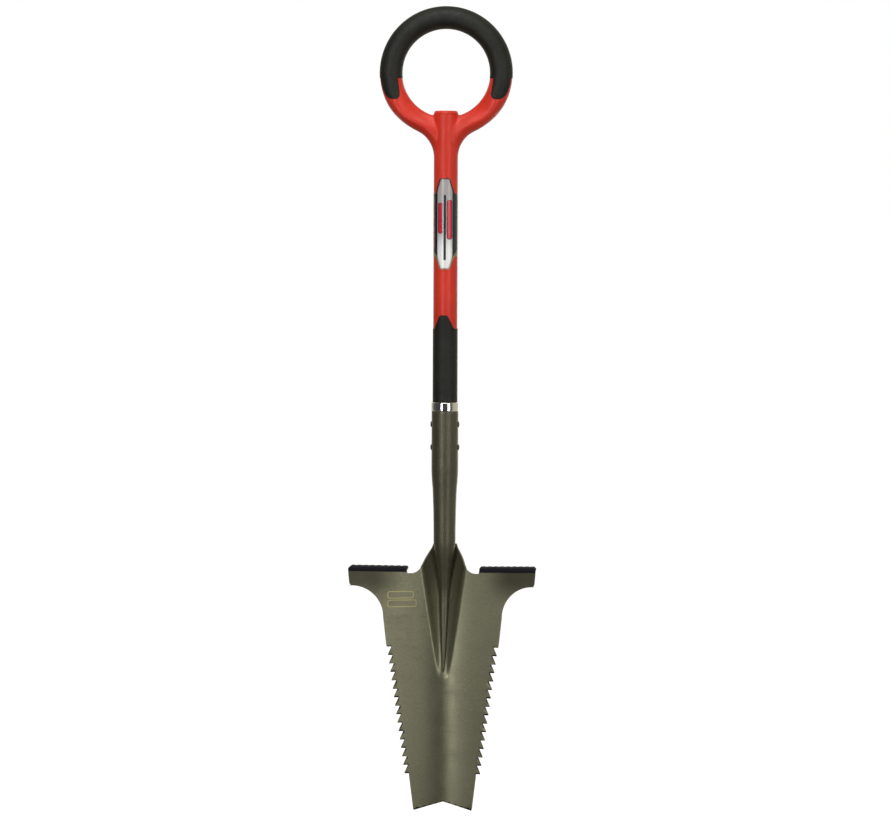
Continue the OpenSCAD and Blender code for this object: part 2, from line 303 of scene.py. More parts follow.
class Look(Nodes):
    """A Principled material and short calls for its procedural nodes."""

    def __init__(self, name, **sockets):
        self.material = bpy.data.materials.new(name)
        self.material.use_nodes = True
        super().__init__(self.material.node_tree)
        self.shader = self.tree.nodes["Principled BSDF"]
        for key, value in sockets.items():
            self.shader.inputs[key.replace("_", " ")].default_value = value
        self.place = self.node("ShaderNodeTexCoord").outputs["Object"]

    def math(self, operation, a, b=0.0, c=0.0):
        return self.node("ShaderNodeMath", {0: a, 1: b, 2: c}, operation=operation).outputs[0]

    def stretched(self, scale):
        """The object's coordinates, scaled along each axis."""
        return self.node("ShaderNodeMapping", {"Vector": self.place, "Scale": scale}).outputs["Vector"]

    def noise(self, scale, detail=3.0, rough=0.5, place=None):
        inputs = {"Vector": place or self.place, "Scale": scale, "Detail": detail, "Roughness": rough}
        return self.node("ShaderNodeTexNoise", inputs).outputs["Fac"]

    def ranged(self, value, low, high, to_low=0.0, to_high=1.0, smooth=True):
        inputs = {"Value": value, "From Min": low, "From Max": high, "To Min": to_low, "To Max": to_high}
        kind = "SMOOTHSTEP" if smooth else "LINEAR"
        return self.node("ShaderNodeMapRange", inputs, interpolation_type=kind).outputs["Result"]

    def mix(self, factor, a, b):
        return self.node("ShaderNodeMix", {"Factor": factor, 6: a, 7: b}, data_type="RGBA").outputs[2]

    def axes(self):
        return tuple(self.node("ShaderNodeSeparateXYZ", {0: self.place}).outputs)

    def bar(self, x, z, centre, half, radius):
        """Distance to a rounded bar, below 0 inside it, as a socket."""
        squares = []
        for place, middle, reach in ((x, centre[0], half[0]), (z, centre[1], half[1])):
            away = self.math("ABSOLUTE", self.math("SUBTRACT", place, middle))
            past = self.math("MAXIMUM", self.math("SUBTRACT", away, reach - radius), 0.0)
            squares.append(self.math("MULTIPLY", past, past))
        return self.math("SUBTRACT", self.math("SQRT", self.math("ADD", *squares)), radius)

    def below(self, value, limit, soft=0.2 * MM):
        """1 where a value is below a limit, 0 above it."""
        return self.ranged(value, limit - soft, limit + soft, 1.0, 0.0)

    def colour(self, socket):
        self.put(socket, self.shader.inputs["Base Color"])

    def mottled(self, scale, detail, dark, light, span=None):
        """Colour that drifts between two display colours, within a span of the noise."""
        drift = self.noise(scale, detail)
        if span:
            drift = self.ranged(drift, *span)
        self.colour(self.mix(drift, shade(*dark), shade(*light)))

    def roughness(self, scale, low, high, detail=3, start=0.3):
        """Roughness that drifts between two values."""
        drift = self.ranged(self.noise(scale, detail), start, 0.7, low, high)
        self.put(drift, self.shader.inputs["Roughness"])

    def bump(self, *layers):
        """Bumps on top of each other, each given as (height socket, distance in metres)."""
        normal = None
        for height, distance in layers:
            inputs = {"Height": height, "Distance": distance, "Strength": 1.0}
            if normal is not None:
                inputs["Normal"] = normal
            normal = self.node("ShaderNodeBump", inputs).outputs["Normal"]
        self.put(normal, self.shader.inputs["Normal"])


def shade(r, g, b):
    """Linear colour from the 0 to 255 values of a display."""
    def linear(value):
        value = value / 255
        return value / 12.92 if value <= 0.04045 else ((value + 0.055) / 1.055) ** 2.4
    return (linear(r), linear(g), linear(b), 1.0)


def red_plastic():
    look = Look("red_moulded_plastic", Coat_Weight=0.04, Coat_Roughness=0.22,
                Specular_IOR_Level=0.32)
    look.mottled(28, 4, (203, 47, 29), (213, 54, 36), (0.35, 0.68))
    look.roughness(160, 0.38, 0.48)
    look.bump((look.noise(900, 2), 0.02 * MM), (look.noise(70, 2), 0.05 * MM))
    return look.material


def soft_rubber():
    look = Look("black_soft_grip", Specular_IOR_Level=0.33)
    look.mottled(34, 4, (18, 18, 12), (28, 28, 20), (0.32, 0.7))
    look.roughness(240, 0.5, 0.64)
    grain = look.node("ShaderNodeTexVoronoi", {"Vector": look.place, "Scale": 1500.0})
    look.bump((grain.outputs["Distance"], 0.05 * MM), (look.noise(2600, 2), 0.02 * MM))
    return look.material


def tread_rubber():
    look = Look("tread_rubber", Specular_IOR_Level=0.08)
    look.mottled(60, 4, (24, 25, 31), (38, 38, 44))
    look.roughness(200, 0.72, 0.88)
    look.bump((look.noise(1500, 3), 0.06 * MM))
    return look.material


def coated_steel(name, depth, satin):
    """Olive-grey satin coat with a fine sparkle, faint scuffs and edges rubbed a little brighter.
    Depth scales its tone; a depth below 1 makes a darker copy of the coat as painted shade. Satin is its
    lowest roughness."""
    look = Look(name, Metallic=0.68)

    def tone(level):
        return shade(level * depth, (level - 2) * depth, (level - 25) * depth)

    cloud = look.noise(9, 5, 0.6)
    fleck = look.noise(750, 2, 0.7)
    base = look.mix(look.ranged(cloud, 0.3, 0.7), tone(104), tone(114))
    base = look.mix(look.ranged(fleck, 0.3, 0.72), base, tone(128))
    scuff = look.noise(20, 4, 0.6, look.stretched((1.0, 1.0, 3.0)))
    base = look.mix(look.ranged(scuff, 0.56, 0.8, 0.0, 0.3), base, tone(82))
    geometry = look.node("ShaderNodeNewGeometry")
    rub = look.ranged(geometry.outputs["Pointiness"], 0.54, 0.62, 0.0, 0.3)
    base = look.mix(rub, base, tone(150))
    look.colour(base)
    look.roughness(60, satin, satin + 0.08, 4)
    look.bump((fleck, 0.015 * MM), (look.noise(45, 3), 0.05 * MM))
    return look


def marked_steel():
    """The coat of the blade, darkened on the outer wings under the steps as painted shade, with a plain
    faint mark of two outlined bars.
    """
    look = coated_steel("blade_coat", 1.0, 0.31)
    x, _, z = look.axes()
    base = look.shader.inputs["Base Color"].links[0].from_socket
    # Painted shade: the coat turns darker on the outer wings just under the steps.
    shade_on_wing = look.ranged(look.math("ABSOLUTE", x), 48 * MM, 96 * MM)
    shade_under_step = look.ranged(z, -750 * MM, -708 * MM)
    base = look.mix(look.math("MULTIPLY", shade_on_wing, shade_under_step), base, shade(66, 64, 48))
    stroke, corner_r, left, bar_half = 0.55 * MM, 2.6 * MM, -77 * MM, 4.6 * MM
    lines = []
    for level, half in ((-731.5 * MM, 17.5 * MM), (-743.6 * MM, 19.5 * MM)):
        edge = look.bar(x, z, (left + half, level), (half, bar_half), corner_r)
        lines.append(look.below(look.math("ABSOLUTE", edge), stroke))
    front = look.node("ShaderNodeNewGeometry").outputs["Normal"]
    facing = look.node("ShaderNodeSeparateXYZ", {0: front}).outputs[1]
    faint = look.math("MAXIMUM", *lines)
    faint = look.math("MULTIPLY", faint, look.ranged(facing, -0.2, 0.2, 0.62, 0.0))
    look.colour(look.mix(faint, base, shade(176, 166, 104)))
    return look.material


def ground_edge_shaded():
    look = Look("ground_edge_shaded", Metallic=0.7, Roughness=0.45)
    # Ground metal with grinding lines, its tone set far darker than the coat as painted shade of the
    # downward-facing bevel faces.
    base = look.mix(look.noise(40, 4), shade(44, 42, 28), shade(60, 57, 42))
    look.colour(look.mix(look.noise(700, 2), base, shade(36, 34, 24)))
    lines = look.noise(220, 2, 0.5, look.stretched((0.4, 1.0, 6.0)))
    look.bump((lines, 0.05 * MM))
    return look.material


def weld_metal():
    look = Look("weld_bead", Metallic=0.75, Roughness=0.42)
    look.mottled(150, 4, (92, 89, 72), (130, 127, 106))
    ripple = look.node("ShaderNodeTexWave", {"Vector": look.place, "Scale": 160.0,
                                             "Distortion": 2.0, "Detail": 2.0}, bands_direction="Z")
    look.bump((ripple.outputs["Fac"], 0.4 * MM), (look.noise(900, 2), 0.05 * MM))
    return look.material


def chrome():
    look = Look("chrome_plate", Metallic=1.0)
    look.mottled(90, 3, (222, 220, 210), (236, 235, 228))
    look.roughness(320, 0.06, 0.16, 4, 0.35)
    scratch = look.noise(120, 4, 0.6, look.stretched((1.0, 1.0, 26.0)))
    look.bump((scratch, 0.008 * MM))
    return look.material


def bare_steel():
    look = Look("drawn_steel_tube", Metallic=1.0, Roughness=0.34)
    look.mottled(50, 4, (176, 176, 178), (196, 196, 196))
    look.bump((look.noise(400, 3, 0.5, look.stretched((1.0, 1.0, 0.05))), 0.02 * MM))
    return look.material


def dark_plastic():
    look = Look("dark_plug_plastic", Roughness=0.5)
    look.mottled(60, 4, (64, 64, 60), (82, 82, 78))
    look.bump((look.noise(900, 2), 0.03 * MM))
    return look.material


def label_print():
    """Printed film: a silver panel with a dark outline on a black band, and plain red bars."""
    look = Look("label_print", Coat_Weight=0.3, Coat_Roughness=0.12)
    x, y, z = look.axes()
    across = look.math("ABSOLUTE", x)
    top, low = label_high.z, label_low.z
    corner_r = 3.2 * MM
    down = look.ranged(z, top - LABEL_TAPER, top, LABEL_HALF, LABEL_END_HALF, False)
    up = look.ranged(z, low, low + LABEL_TAPER, LABEL_END_HALF, LABEL_HALF, False)
    half = look.math("SMOOTH_MIN", down, up, 2 * MM)
    depth = look.math("SUBTRACT", half, across)
    depth = look.math("SMOOTH_MIN", depth, look.math("SUBTRACT", top, z), corner_r)
    depth = look.math("SMOOTH_MIN", depth, look.math("SUBTRACT", z, low), corner_r)
    on_front = look.below(y, -2 * MM)
    panel = look.math("MULTIPLY", look.ranged(depth, 1.5 * MM, 1.9 * MM), on_front)

    dot_pitch = 1.3 * MM
    weave = [look.math("SINE", look.math("MULTIPLY", place, 2 * math.pi / dot_pitch))
             for place in (x, z)]
    dots = look.ranged(look.math("MULTIPLY", *weave), -0.6, 0.6)
    silver = look.mix(dots, shade(150, 145, 143), shade(182, 177, 175))
    whiten = look.ranged(z, low + 62 * MM, low + 24 * MM)
    silver = look.mix(whiten, silver, shade(236, 235, 233))
    shadow = look.ranged(depth, 1.4 * MM, 4.4 * MM, 0.3, 0.0)
    silver = look.mix(shadow, silver, shade(120, 118, 118))

    ink, red = shade(28, 27, 29), shade(196, 22, 48)
    stem = look.below(look.bar(x, z, (0.0, -216 * MM), (1.7 * MM, 46 * MM), 1.6 * MM), 0.0)
    panel_art = look.mix(stem, silver, ink)
    for centre, size in (((-6.4 * MM, -203 * MM), (2.5 * MM, 21 * MM)),
                         ((6.5 * MM, -205 * MM), (2.9 * MM, 27 * MM))):
        bar = look.bar(x, z, centre, size, 2.2 * MM)
        panel_art = look.mix(look.below(bar, 0.8 * MM), panel_art, ink)
        panel_art = look.mix(look.below(bar, 0.0), panel_art, red)

    side_gap = look.math("SUBTRACT", SHAFT_R, across)
    sand_top = look.math("MULTIPLY_ADD", side_gap, -1.6, BAND_LOW + 10 * MM)
    sand = look.below(look.math("SUBTRACT", z, sand_top), 0.0)
    sand_colour = look.mix(look.ranged(look.noise(500, 3), 0.4, 0.6),
                           shade(150, 142, 108), shade(112, 106, 84))
    band = look.mix(sand, shade(17, 20, 27), sand_colour)
    column = look.bar(x, z, (-15.9 * MM, -210 * MM), (0.7 * MM, 37 * MM), 0.5 * MM)
    stripe = look.math("MULTIPLY", look.below(column, 0.0), on_front)
    band = look.mix(stripe, band, red)
    look.colour(look.mix(panel, band, panel_art))
    look.roughness(140, 0.26, 0.4)
    look.bump((look.noise(60, 3), 0.05 * MM))
    return look.material


def pale_floor():
    look = Look("pale_floor", Roughness=0.9, Emission_Color=(1, 1, 1, 1), Emission_Strength=0.94)
    look.mottled(3, 2, (120, 120, 120), (124, 124, 124))
    return look.material


RED = red_plastic()
GRIP = soft_rubber()
TREAD = tread_rubber()
# Painted shade: the socket and rivets get the blade's coat toned down to 0.76, a darker copy standing in
# for the tube taking less light.
STEEL = coated_steel("socket_coat_shaded", 0.76, 0.42).material
BLADE = marked_steel()
GROUND = ground_edge_shaded()
WELD = weld_metal()
CHROME = chrome()
LABEL = label_print()


# ---------- ring handle ----------

CORE_SECTION = SECTION_R - 2.8 * MM
RED_SECTION = SECTION_R - 0.2 * MM
LOW_SECTION = SECTION_R - 1.4 * MM
RIM_SECTION = 8 * MM
RIM_START, RIM_END = 20, 46
OPENING_R = RING_R - SECTION_R + 0.2 * MM
ROUND = 2.0
RIDGED = 1.32


def ring_section(drop):
    """Radius of the red ring's section at an angle below the horizontal, in degrees."""
    under_grip = smoothstep(-4, 3, drop)
    slim = smoothstep(24, 52, drop)
    return CORE_SECTION + under_grip * (RED_SECTION - CORE_SECTION) - slim * (RED_SECTION - LOW_SECTION)


def ridge_section(outer, inner, half_deep, power):
    """Section of a ring or arm as (outward, depth) pairs: round for power 2, and below it with a ridge
    in front and one behind, which lie between the outer and the inner width."""
    pairs = []
    for angle in full_turn(56):
        c, s = on_circle(1, angle)
        depth = math.copysign(math.sqrt(max(0.0, 1 - abs(c) ** power)), s)
        pairs.append(((outer if c > 0 else inner) * c, half_deep * depth))
    return pairs


def swept(path, sections):
    """Points of a tube in the XZ plane. The path holds (centre, outward direction)."""
    return [(centre[0] + outward[0] * out, -deep, centre[1] + outward[1] * out)
            for (centre, outward), section in zip(path, sections) for out, deep in section]


def ring_parts():
    """The ring. Past the grip it thins to a rim round the opening, and the arms carry on its shape."""
    path, sections = [], []
    for angle in full_turn(180):
        direction = on_circle(1, angle)
        drop = math.degrees(math.asin(-direction[1]))
        thin = float(smoothstep(RIM_START, RIM_END, drop))
        size = float(ring_section(drop)) * (1 - thin) + RIM_SECTION * thin
        path.append((on_circle(OPENING_R + size if drop > RIM_START else RING_R, angle), direction))
        sections.append(ridge_section(size, size, size, ROUND))
    return swept(path, sections), grid_faces(len(path), len(sections[0]), wrap_rows=True)


def arm_parts(side):
    """One arm of the yoke: down along the ring, then out of it along an arc into the shaft. Its ridge
    lies outside the ring's path, and its inner flank reaches the opening."""
    end_x, end_z = 3.5 * MM, -118 * MM
    waist_half, end_deep, deep_loss = 13.4 * MM, 11.9 * MM, 3 * MM
    ridge_out, leave_out, ridge_full = 6 * MM, 2.5 * MM, 42
    arc_r = (end_z ** 2 + end_x ** 2 - RING_R ** 2) / (2 * (RING_R - end_x))
    centre = (end_x + arc_r, end_z)
    between_centres = RING_R + arc_r
    leave = math.degrees(math.atan2(-end_z, centre[0]))
    waist = arc_r - waist_half
    path, sections = [], []

    def add(point, away, *section):
        path.append(((side * point[0], point[1]), (side * away[0], away[1])))
        sections.append(ridge_section(*section))

    for drop in np.linspace(14, leave, 24)[:-1]:
        away = on_circle(1, -math.radians(drop))
        ridge = float(smoothstep(RIM_START, ridge_full, drop))
        outside = RING_R + RED_SECTION
        outside += (between_centres - waist - outside) * float(smoothstep(24, leave, drop))
        peak = RING_R + ridge_out * ridge
        peak -= (ridge_out - leave_out) * float(smoothstep(ridge_full, leave, drop))
        opening = OPENING_R + 1 * MM + 2 * MM * float(smoothstep(30, leave, drop))
        deep = float(ring_section(drop)) * (0.99 + 0.03 * ridge)
        add((away[0] * peak, away[1] * peak), away, outside - peak, peak - opening, deep,
            ROUND + (RIDGED - ROUND) * ridge)
    ridge_r = arc_r - leave_out
    for t in np.linspace(0, 1, 40):
        away = on_circle(1, -math.radians(leave) * (1 - t))
        point = (centre[0] - ridge_r * away[0], centre[1] - ridge_r * away[1])
        along = point[0] * away[0] + point[1] * away[1]
        gap = along ** 2 - point[0] ** 2 - point[1] ** 2 + (OPENING_R + 3 * MM) ** 2
        inner = along - math.sqrt(gap) if gap > 0 else 40 * MM
        if away[0] > 0.05:
            inner = min(inner, (point[0] + 4 * MM) / away[0])
        add(point, away, ridge_r - waist + 0.2 * t * MM, max(inner, 12 * MM),
            end_deep + deep_loss * (1 - t), RIDGED + (ROUND - RIDGED) * float(smoothstep(0.6, 1.0, t)))
    return swept(path, sections), tube_faces(len(path), len(sections[0]))


def solid_post(outline, count=72):
    """Points and faces of a turned solid with closed ends, from (radius, level) pairs."""
    points = [(*on_circle(radius, angle), level) for radius, level in outline
              for angle in full_turn(count)]
    return points, tube_faces(len(outline), count)


def handle_moulding():
    """Ring, yoke and boss melt into one moulding. A turned sleeve carries on under the label's band."""
    join_z = (label_low.z + label_high.z) / 2
    boss = [(SHAFT_R, join_z - 4 * MM), (SHAFT_R, -100 * MM), (SHAFT_R - 0.2 * MM, -80 * MM),
            (SHAFT_R, SLEEVE_TOP - 8 * MM), (SHAFT_R, SLEEVE_TOP + 2 * MM)]
    points, faces = [], []
    for part_points, part_faces in (ring_parts(), arm_parts(1), arm_parts(-1), solid_post(boss)):
        start = len(points)
        points += part_points
        faces += [tuple(start + k for k in face) for face in part_faces]
    piece = mesh_object("handle_moulding", points, faces)
    clean(piece)
    remesh = piece.modifiers.new("melt", "REMESH")
    remesh.mode = "VOXEL"
    remesh.voxel_size = 1.2 * MM
    remesh.adaptivity = 0
    soften = piece.modifiers.new("soften", "SMOOTH")
    soften.factor = 0.5
    soften.iterations = 24
    apply_modifiers(piece)

    spigot_r, spigot_low = SOCKET_R - 2.4 * MM, handle_low.z
    sleeve = turned("sleeve", fillet([
        (CORE_R, join_z), (SHAFT_R, join_z, 0), (SHAFT_R, SEAT_TOP), (SEAT_R, SEAT_TOP - 3 * MM),
        (SEAT_R, ferrule_high.z), (spigot_r, ferrule_high.z), (spigot_r, spigot_low),
        (CORE_R, spigot_low)], 0.5 * MM, 3))
    join(piece, [sleeve])
    finish_piece(piece, RED, "handle_body", 60)


def grip_reach(angle):
    """Angle below the horizontal that the ring's grip reaches, for an angle round the section:
    0 is the outer side and 180 the inner side. It has a tongue in front and one behind."""
    base, tongue = 7.5 * MM, 36.9 * MM
    outer_half, inner_half, tongue_at = 13.6 * MM, 15 * MM, 75
    across = np.radians(angle - tongue_at) * SECTION_R
    share = np.clip(np.where(across < 0, -across / outer_half, across / inner_half), 0, 1)
    level = base + (tongue - base) * (1 - share ** 2.5) ** 0.4
    return np.arcsin(level / (RING_R + SECTION_R * np.cos(np.radians(angle))))


def ring_grip_skin():
    """Soft grip on the ring, proud of the moulding by a hair, with rolled edges."""
    around = np.array(full_turn(160))
    reach = grip_reach(np.degrees(np.arccos(np.cos(around))))
    top_r = SECTION_R + 0.05 * MM
    roll = [(0.0, 0.6), (0.05, 0.36), (0.2, 0.17), (0.42, 0.05), (0.8, 0.0)]
    outer, inner = [], []

    def add(angle, drop):
        radius = top_r - drop * MM
        core = ring_section(np.degrees(np.arcsin(np.clip(-np.sin(angle), -1, 1)))) + SKIN_GAP
        core = np.minimum(core, radius - 0.1 * MM)
        for grid, r in ((outer, radius), (inner, core)):
            path = RING_R + r * np.cos(around)
            grid.append(np.stack([path * np.cos(angle), -r * np.sin(around), path * np.sin(angle)], 1))

    start, end = -reach, math.pi + reach
    edge = roll[-1][0] * MM / RING_R
    for inset, drop in roll:
        add(start + inset * MM / RING_R, drop)
    for t in np.linspace(0, 1, 130)[1:-1]:
        add(start + edge + (end - start - 2 * edge) * t, 0.0)
    for inset, drop in reversed(roll):
        add(end - inset * MM / RING_R, drop)
    piece = sleeve_solid("ring_grip_skin", np.array(outer), np.array(inner))
    finish_piece(piece, GRIP, "ring_grip", 75)


def top_cap_moulding():
    """Cap with a round upper edge, and a plug that goes down into the core tube."""
    plug_r, edge_w = CORE_R - 2 * MM, 3.6 * MM
    r, rim_z = SHAFT_R + 0.15 * MM, SLEEVE_TOP + 0.5 * MM
    edge = []
    for degrees in range(0, 91, 9):
        across, up = on_circle(1, math.radians(degrees))
        edge.append((r - edge_w * (1 - across), rim_z + (cap_high.z - rim_z) * up, 0))
    outline = [(0.0, cap_low.z, 0), (plug_r, cap_low.z), (plug_r, SLEEVE_TOP, 0),
               (r - 0.2 * MM, SLEEVE_TOP, 0)] + edge + [(0.0, cap_high.z, 0)]
    piece = turned("top_cap_moulding", fillet(outline, 0.2 * MM, 8))
    finish_piece(piece, RED, "top_cap", 50)


# ---------- shaft ----------

def tongue_level(across):
    """Upper edge of the shaft grip, for a distance across the shaft: a tongue with straight sides."""
    top_half, foot_half, height = 5.9 * MM, 14.2 * MM, 19 * MM
    shifts = np.linspace(-1.6, 1.6, 9) * MM
    level = sum(np.clip((across + shift - top_half) / (foot_half - top_half), 0, 1)
                for shift in shifts)
    return grip_high.z - height * level / len(shifts)


def shaft_grip_skin():
    """Soft grip on the shaft. Its tongues in front and behind are turned a little round it."""
    cols = 144
    turn = math.radians(-4.5)
    around = np.array(full_turn(cols))
    top = tongue_level(np.abs(GRIP_R * np.sin(around)))
    low = ferrule_high.z + 0.1 * MM
    roll = [(0.0, 0.55), (0.08, 0.3), (0.25, 0.12), (0.5, 0.0)]
    outer, inner = [], []

    def add(level, radius):
        seat = np.where(level > SEAT_TOP + 0.5 * MM, SHAFT_R + SKIN_GAP, SEAT_R)
        seat = np.minimum(seat, radius - 0.05 * MM)
        for grid, r in ((outer, radius), (inner, seat)):
            grid.append(np.stack([r * np.sin(around + turn), -r * np.cos(around + turn),
                                  np.broadcast_to(level, around.shape)], 1))

    for inset, drop in roll:
        add(top - inset * MM, np.full(cols, GRIP_R - drop * MM))
    edge = roll[-1][0] * MM
    for t in np.linspace(0, 1, 60)[1:-1]:
        add(top - edge + (low - top + 2 * edge) * t, np.full(cols, GRIP_R))
    for inset, drop in ((0.5, 0.0), (0.2, 0.12), (0.0, 0.4)):
        add(np.full(cols, low + inset * MM), np.full(cols, GRIP_R - drop * MM))
    piece = sleeve_solid("shaft_grip_skin", np.array(outer), np.array(inner))
    finish_piece(piece, GRIP, "shaft_grip", 75)


def split_sides(outline, extra):
    """Adds points that lie on an outline's straight upright sides, so that both sides match."""
    out = []
    for a, b in zip(outline, outline[1:] + outline[:1]):
        out.append(a)
        on_side = [p for p in extra if abs(a[0] - b[0]) < 1e-6 and abs(p[0] - a[0]) < 1e-6
                   and min(a[1], b[1]) < p[1] < max(a[1], b[1])]
        out += sorted(on_side, key=lambda p: abs(p[1] - a[1]))
    return out


def label_film():
    """Label cut flat and wrapped round the shaft: a full band with a long panel in front."""
    r = SHAFT_R

    def unrolled(x):
        return r * math.asin(x / r)

    top, low = label_high.z, label_low.z
    seam = math.pi * r
    half = [(unrolled(LABEL_END_HALF), top, 3.5 * MM),
            (unrolled(LABEL_HALF), top - LABEL_TAPER, 2.5 * MM),
            (unrolled(LABEL_HALF + 0.6 * MM), BAND_TOP, 2 * MM), (seam, BAND_TOP, 0),
            (seam, BAND_LOW, 0), (unrolled(LABEL_HALF), BAND_LOW, 1 * MM),
            (unrolled(LABEL_END_HALF), low, 4 * MM)]
    outline = fillet(half + [(-s, z, q) for s, z, q in reversed(half)], 0, 6)
    outline = [(s / MM, z / MM) for s, z in outline]
    across = np.linspace(-seam, seam, 61)[1:-1] / MM
    down = np.arange(low / MM + 1, top / MM, 3.0)
    grid = np.array([(s, z) for s in across for z in down])
    seam_rows = [(side * seam / MM, z) for side in (-1, 1) for z in down
                 if BAND_LOW / MM + 1 < z < BAND_TOP / MM - 1]
    flat, faces = flat_sheet(split_sides(outline, seam_rows), grid)
    film = []
    for radius in (label_high.x, r + SKIN_GAP):
        for s, z in flat:
            angle = s * MM / r
            film.append((radius * math.sin(angle), -radius * math.cos(angle), z * MM))
    at_seam = [abs(abs(s) - seam / MM) < 1e-3 for s, z in flat]
    rim = [(a, b) for a, b in open_edges(faces) if not (at_seam[a] and at_seam[b])]
    piece = mesh_object("label_film", film, thick_faces(faces, len(flat), rim))
    clean(piece, 0.004 * MM)
    finish_piece(piece, LABEL, "shaft_label", 50)


# ---------- metal fittings ----------

def ferrule_collar():
    """Collar with rounded edges, a hair wider at its middle."""
    inner = SOCKET_R - 2.2 * MM
    low, high = ferrule_low.z, ferrule_high.z
    piece = turned("ferrule_collar", fillet([
        (inner, low, 0), (FERRULE_R - 0.2 * MM, low), (FERRULE_R, (low + high) / 2, 0),
        (FERRULE_R - 0.2 * MM, high), (inner, high, 0)], 1.3 * MM, 8), 128)
    finish_piece(piece, CHROME, "ferrule", 50)


def rivet_piece(node):
    """Cross rivet: a shank with a low domed head at each end, the rim a little proud of the socket."""
    low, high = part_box(node)
    level = (low.z + high.z) / 2
    head_r, shank_r = (high.z - low.z) / 2, 3 * MM
    reach, seat = high.x, SOCKET_R - 0.15 * MM
    dome = []
    for degrees in range(0, 90, 10):
        across, up = on_circle(1, math.radians(degrees))
        dome.append((head_r * across ** 0.8, seat + (reach - seat) * up))
    half = [(shank_r, seat)] + dome + [(0.0, reach)]
    outline = half + [(r, -x) for r, x in reversed(half)]
    piece = turned(node + "_set", outline, 40, "x")
    piece.data.transform(Matrix.Translation((0, 0, level)))
    finish_piece(piece, STEEL, node, 50)


def socket_tube():
    """Tube with a swaged shoulder and a long taper that ends as a thin ridge in the trough."""
    wall, tip_h, tube = 2.25 * MM, 3 * MM, SOCKET_R / MM
    outside = [(0, tube), (4, tube), (64, tube), (84, tube - 0.05), (97, tube - 0.7),
               (112, tube - 1.85), (166, 15.5), (184, 15.4), (196, 14.3), (216, 10.9), (236, 7.5),
               (250, 5.4), (258, 4.5), (270, 4), (300, 3.2), (340, 2.1)]
    neck_bore_r = 13.25 * MM
    top, end_z, end_r = socket_high.z, socket_low.z, 1 * MM
    levels = np.array([end_z + tip_h] + [top - down * MM for down, r in reversed(outside)])
    radii = np.array([end_r] + [r * MM for down, r in reversed(outside)])
    straight = top - 60 * MM
    fine = np.concatenate([np.linspace(top, straight, 8)[:-1],
                           np.linspace(straight, end_z + tip_h, 150)])
    width = smooth_curve(levels, radii, fine)
    spread = 1 + 0.45 * smoothstep(top - 225 * MM, top - 275 * MM, fine)

    bend_z, soft = top - 257 * MM, 6 * MM
    end_y = trough_floor(end_z + 1 * MM) - end_r - 0.7 * MM
    slope = end_y / (end_z - bend_z)
    past = bend_z - fine
    lean = np.where(past > soft, past, np.where(past > -soft, (past + soft) ** 2 / (4 * soft), 0))
    centre_y = -slope * lean

    bore = [(SOCKET_R - wall, top), (SOCKET_R - wall, top - 90 * MM), (14.75 * MM, top - 108 * MM),
            (neck_bore_r, top - 166 * MM), (neck_bore_r, top - 176 * MM)]
    rings = [(r, r, 0, z) for r, z in reversed(bore)]
    rings += [(r * wide, r, y, z) for z, r, y, wide in zip(fine, width, centre_y, spread)]
    rings.append((0, 0, centre_y[-1], end_z))
    around = full_turn(96)
    points = [(half_wide * math.cos(angle), y + half_deep * math.sin(angle), z)
              for half_wide, half_deep, y, z in rings for angle in around]
    piece = mesh_object("socket_tube", points, tube_faces(len(rings), len(around)))
    clean(piece)
    finish_piece(piece, STEEL, "socket", 40)


# ---------- blade ----------

FACE_Y = -14 * MM
SHEET_T = 2.2 * MM
DISH_BEND = 22 * MM
DISH_SLOPE = math.tan(math.radians(18.1))
SADDLE_TOP = blade_high.z
TROUGH_TIP = -851 * MM
TROUGH_END = -841 * MM
END_HALF = 7.5 * MM
TROUGH_FLARE = 0.143
NECK_R = 15.5 * MM
LIP_SOFT = 1.7 * MM
TROUGH_SLOPE = (NECK_R - FACE_Y) / (SADDLE_TOP - TROUGH_TIP)
STEP_IN, STEP_Z = 51 * MM, -695.5 * MM
TREAD_SLOPE = math.tan(math.radians(2))
EDGE_X = blade_high.x
STEP_REACH = 24 * MM / math.cos(math.atan(DISH_SLOPE))
STEP_LOW = -716 * MM
WAIST_X = 83 * MM
FILLET_R = 45 * MM


def trough_floor(z):
    return FACE_Y + (z - TROUGH_TIP) * TROUGH_SLOPE


def tread_level(x):
    return STEP_Z + (x - STEP_IN) * TREAD_SLOPE


def dish(x):
    """Front surface of the blade without its trough: a soft bend across that runs out straight."""
    return FACE_Y - DISH_SLOPE * (np.sqrt(x ** 2 + DISH_BEND ** 2) - DISH_BEND)


def trough_half(z):
    """Half the trough's width at the blade's face: straight sides with a round lower end."""
    end = np.sqrt(np.clip(1 - ((TROUGH_END - z) / (TROUGH_END - TROUGH_TIP)) ** 2, 0, 1))
    straight = END_HALF + TROUGH_FLARE * (z - TROUGH_END)
    return np.where(z > TROUGH_END, straight, END_HALF * np.where(z > TROUGH_TIP, end, 0))


def sharp_face(x, z):
    """The dish with the trough pressed into it, before the lips are rounded."""
    half = np.maximum(trough_half(z), 1e-6)
    reach = np.abs(x) / half
    near = np.minimum(reach, 1)
    depth = np.maximum(trough_floor(z) - dish(half), 0)
    wall = trough_floor(z) - depth * (0.45 * near ** 2 + 0.55 * (1 - np.sqrt(1 - near ** 2)))
    outer_fall = 6
    wall = wall - np.maximum(reach - 1, 0) * half * outer_fall
    return np.where(z > TROUGH_TIP, np.maximum(dish(x), wall), dish(x))


def face_y(x, z):
    """Front surface of the blade: the pressed shape averaged across, which rounds the lips."""
    shifts = np.linspace(-2.2, 2.2, 13)
    weights = np.exp(-shifts ** 2 / 2)
    total = sum(weight * sharp_face(x + shift * LIP_SOFT, z) for shift, weight in zip(shifts, weights))
    return total / sum(weights)


